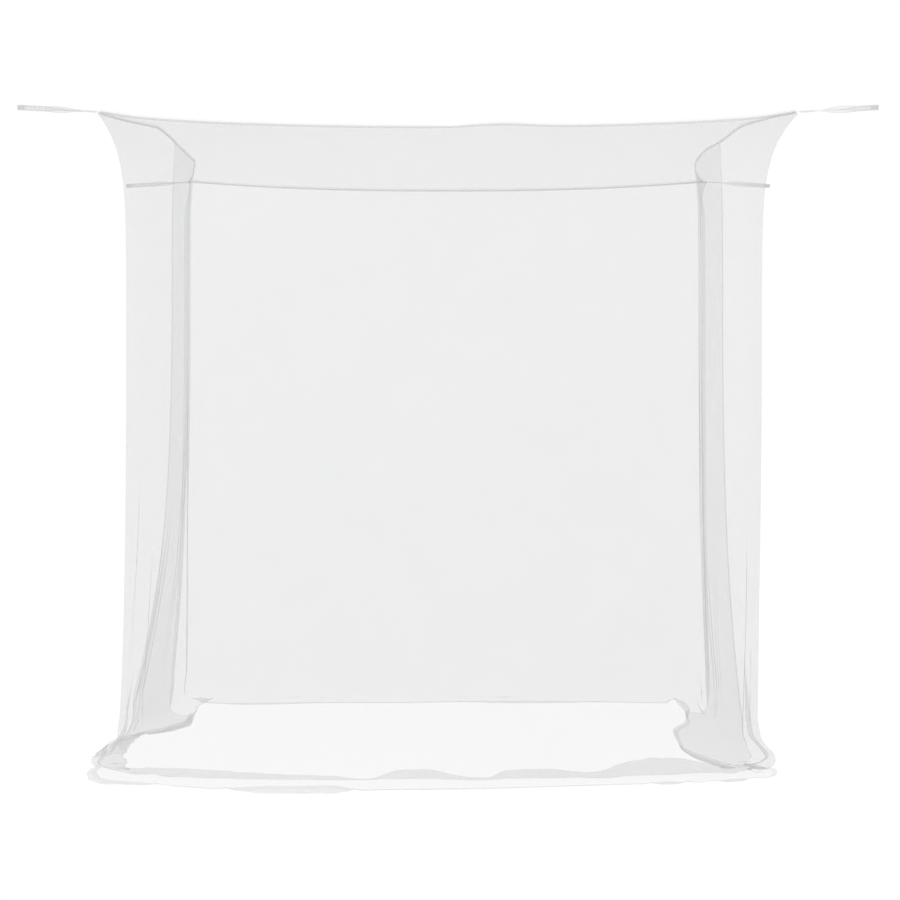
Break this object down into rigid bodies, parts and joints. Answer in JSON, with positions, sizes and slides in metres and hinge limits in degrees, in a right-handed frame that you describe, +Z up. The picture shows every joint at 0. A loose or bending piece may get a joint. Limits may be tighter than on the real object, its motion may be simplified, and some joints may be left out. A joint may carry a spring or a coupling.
{
  "type": "hanging box mosquito net with corner loops",
  "caption": "White box mosquito net for a double bed, hung by a tape loop at each roof corner, with overlapping side doors and spare cloth lying on the floor.",
  "frame": {"origin": "on the floor, under the middle of the roof", "axes": "+Z up, the front faces -Y, +X to the right seen from the front"},
  "size_m": [2.5714, 2.0713, 2.0067],
  "materials": {
    "netting": "sheer white knitted polyester mosquito netting",
    "binding": "white polyester binding folded over the roof seams and stitched",
    "tape": "white woven polyester tape"
  },
  "bodies": {
    "root": {"roof_panel": "netting", "front_wall": "netting", "back_wall": "netting", "binding_front": "binding", "binding_right": "binding", "binding_back": "binding", "binding_left": "binding", "loop_front_left": "tape", "loop_front_right": "tape", "loop_back_right": "tape", "loop_back_left": "tape"}
  },
  "joints": []
}
